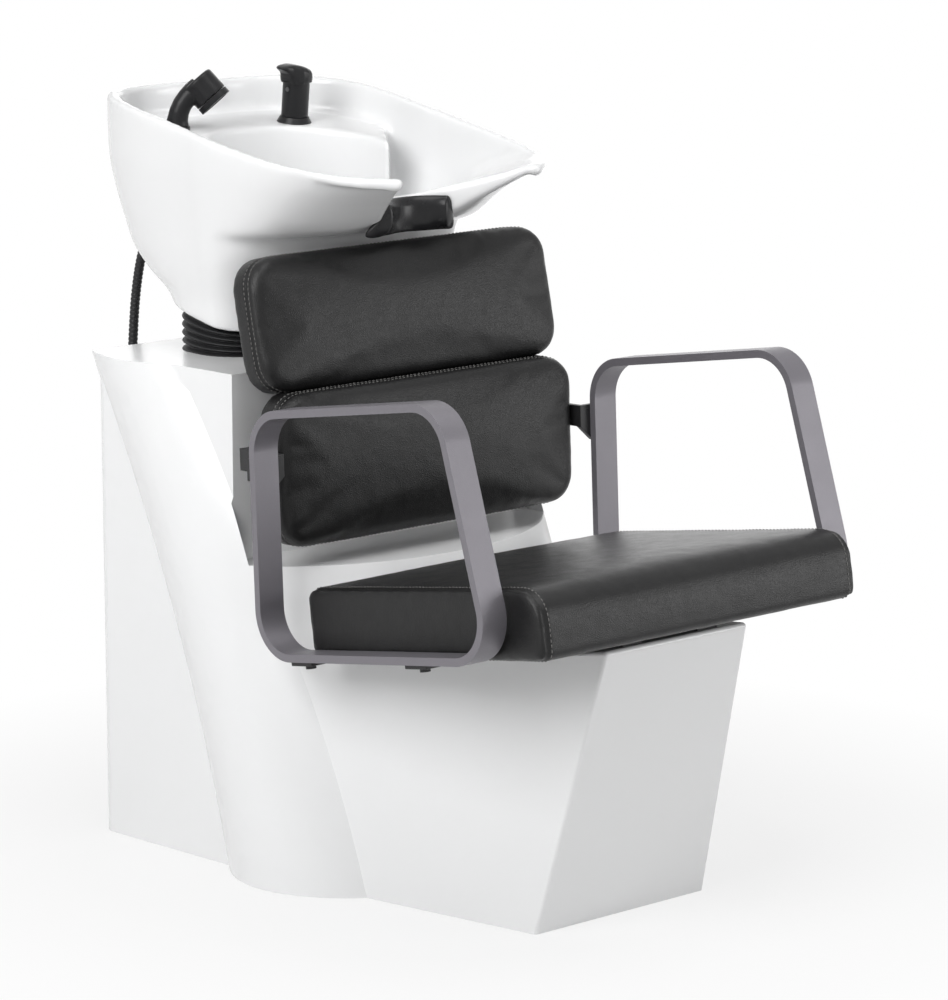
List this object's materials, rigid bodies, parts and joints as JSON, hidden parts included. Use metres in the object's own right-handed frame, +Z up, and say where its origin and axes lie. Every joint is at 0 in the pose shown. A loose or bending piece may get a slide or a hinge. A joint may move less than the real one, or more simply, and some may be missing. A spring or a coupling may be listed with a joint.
{
  "type": "salon backwash unit",
  "caption": "Salon backwash unit: moulded base, upholstered seat and back, armrest loops, and a tilting ceramic hair-wash bowl with mixer and pull-out hand shower.",
  "frame": {"origin": "on the floor, in the middle of the unit's outline", "axes": "+X to the sitter's left, +Y to the rear, +Z up"},
  "size_m": [0.6, 1.0315, 0.9849],
  "materials": {
    "shell": "glossy gelcoat",
    "china": "glazed",
    "leather": "fine grain, semi-matt",
    "graphite": "satin powder coat",
    "black_steel": "semi-matt powder coat",
    "steel": "zinc plated",
    "chrome": "polished",
    "rubber": "soft, slightly glossy",
    "black_tap": "glossy black",
    "black_plastic": "glossy",
    "board": "plywood",
    "mark": "plain colour dot",
    "panel": "satin"
  },
  "bodies": {
    "base": {"base_shell": "shell", "service_panel": "panel", "panel_screws": "steel", "floor_plate": "steel", "frame_post_left": "steel", "frame_post_right": "steel", "cap_plate": "steel", "seat_frame": "black_steel", "seat_board": "board", "seat_cushion": "leather", "seat_screws": "steel", "armrest_left": "graphite", "armrest_right": "graphite", "armrest_bolts": "black_steel", "back_bracket": "black_steel", "bracket_bolts": "black_steel", "spine_bolts": "black_steel", "back_spine_left": "black_steel", "back_spine_right": "black_steel", "back_screws": "black_steel", "lower_back_board": "board", "upper_back_board": "board", "lower_back_cushion": "leather", "upper_back_cushion": "leather", "hinge_base": "steel", "hinge_bolts": "steel", "hinge_pin": "steel", "bellows": "rubber"},
    "bowl": {"bowl": "china", "neck_rest": "rubber", "hinge_head": "steel", "drain_waste": "chrome", "drain_seal": "rubber", "drain_nut": "steel", "strainer": "chrome", "mixer_base": "black_tap", "mixer_body": "black_tap", "mixer_cartridge": "black_plastic", "mixer_mark": "mark", "mixer_nut": "steel", "supply_tails": "steel", "shower_holder": "black_plastic", "holder_nut": "steel", "shower_hose": "rubber"},
    "spindle": {"mixer_spindle": "steel"},
    "lever": {"mixer_lever": "black_tap"},
    "hand_shower": {"shower_body": "black_plastic", "shower_ring": "black_plastic", "spray_face": "black_plastic", "shower_stub": "black_plastic"}
  },
  "joints": [
    {"name": "bowl_tilt", "type": "hinge", "parent": "base", "child": "bowl", "pos_m": [0, 0.263, 0.668], "axis": [-1, 0, 0], "range_deg": [0, 12], "deforming": ["bellows"]},
    {"name": "lever_swivel", "type": "hinge", "parent": "bowl", "child": "spindle", "pos_m": [0.09, 0.38849, 0.95608], "axis": [0, -0.1045, 0.9945], "range_deg": [-40, 40]},
    {"name": "lever_lift", "type": "hinge", "parent": "spindle", "child": "lever", "pos_m": [0.09, 0.38849, 0.95608], "axis": [-0.2079, 0.9728, 0.1022], "range_deg": [0, 20]},
    {"name": "shower_pull_out", "type": "slide", "parent": "bowl", "child": "hand_shower", "axis": [0, -0.1045, 0.9945], "range_m": [0, 0.1]}
  ]
}
